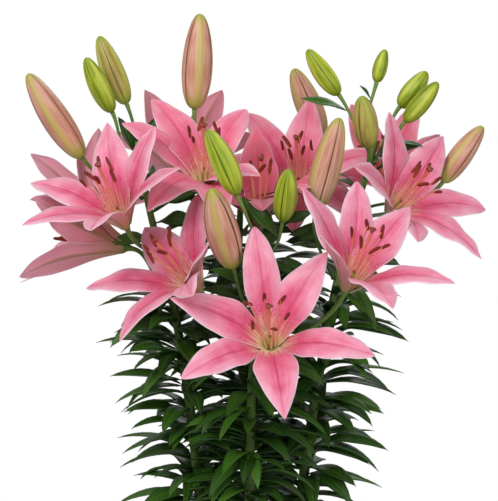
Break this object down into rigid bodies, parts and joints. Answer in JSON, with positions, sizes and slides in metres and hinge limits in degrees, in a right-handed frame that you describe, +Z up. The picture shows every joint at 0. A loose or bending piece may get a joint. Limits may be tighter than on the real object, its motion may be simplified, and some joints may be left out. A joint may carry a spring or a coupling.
{
  "type": "potted lily",
  "caption": "Potted lily: leafy upright stems from bulbs in a plain tapered pot, carrying open pink star-shaped flowers and green and tan buds.",
  "frame": {"origin": "centre of the pot's flat base, on the surface it stands on", "axes": "+Z up along the pot's axis, -Y towards the front of the plant, +X to the right as seen from the front"},
  "size_m": [0.389, 0.3722, 0.5731],
  "materials": {
    "pot_plastic": "satin black plastic",
    "potting_mix": "rough, peat and bark",
    "bulb_scales": "matte scales",
    "leaf_green": "semi-gloss leaf",
    "petal_pink": "soft matte petal",
    "stalk_green": "satin",
    "bud_green": "satin",
    "bud_ripe": "satin"
  },
  "bodies": {
    "root": {"pot": "pot_plastic", "potting_mix": "potting_mix", "bulb_front": "bulb_scales", "bulb_left": "bulb_scales", "bulb_right": "bulb_scales", "bulb_back": "bulb_scales", "stem_front": "leaf_green", "stem_left": "leaf_green", "stem_right": "leaf_green", "stem_back": "leaf_green", "petals_upper_left": "petal_pink", "stalk_upper_left": "stalk_green", "petals_far_left": "petal_pink", "stalk_far_left": "stalk_green", "petals_rear_left": "petal_pink", "stalk_rear_left": "stalk_green", "petals_centre_left": "petal_pink", "stalk_centre_left": "stalk_green", "petals_centre_front": "petal_pink", "stalk_centre_front": "stalk_green", "petals_centre_right": "petal_pink", "stalk_centre_right": "stalk_green", "petals_right": "petal_pink", "stalk_right": "stalk_green", "petals_top_middle": "petal_pink", "stalk_top_middle": "stalk_green", "petals_top_rear": "petal_pink", "stalk_top_rear": "stalk_green", "petals_middle": "petal_pink", "stalk_middle": "stalk_green", "petals_rear_middle": "petal_pink", "stalk_rear_middle": "stalk_green", "petals_rear_right": "petal_pink", "stalk_rear_right": "stalk_green", "bud_far_left": "bud_ripe", "bud_left_short": "bud_green", "bud_left_tall": "bud_green", "bud_top": "bud_ripe", "bud_middle_green": "bud_green", "bud_middle_ripe": "bud_ripe", "bud_middle_short": "bud_green", "bud_rear_ripe": "bud_ripe", "bud_rear_green": "bud_green", "bud_tall_right": "bud_ripe", "bud_dark_right": "bud_green", "bud_tiny": "bud_green", "bud_pair_inner": "bud_green", "bud_pair_outer": "bud_green", "bud_far_right": "bud_ripe"}
  },
  "joints": []
}
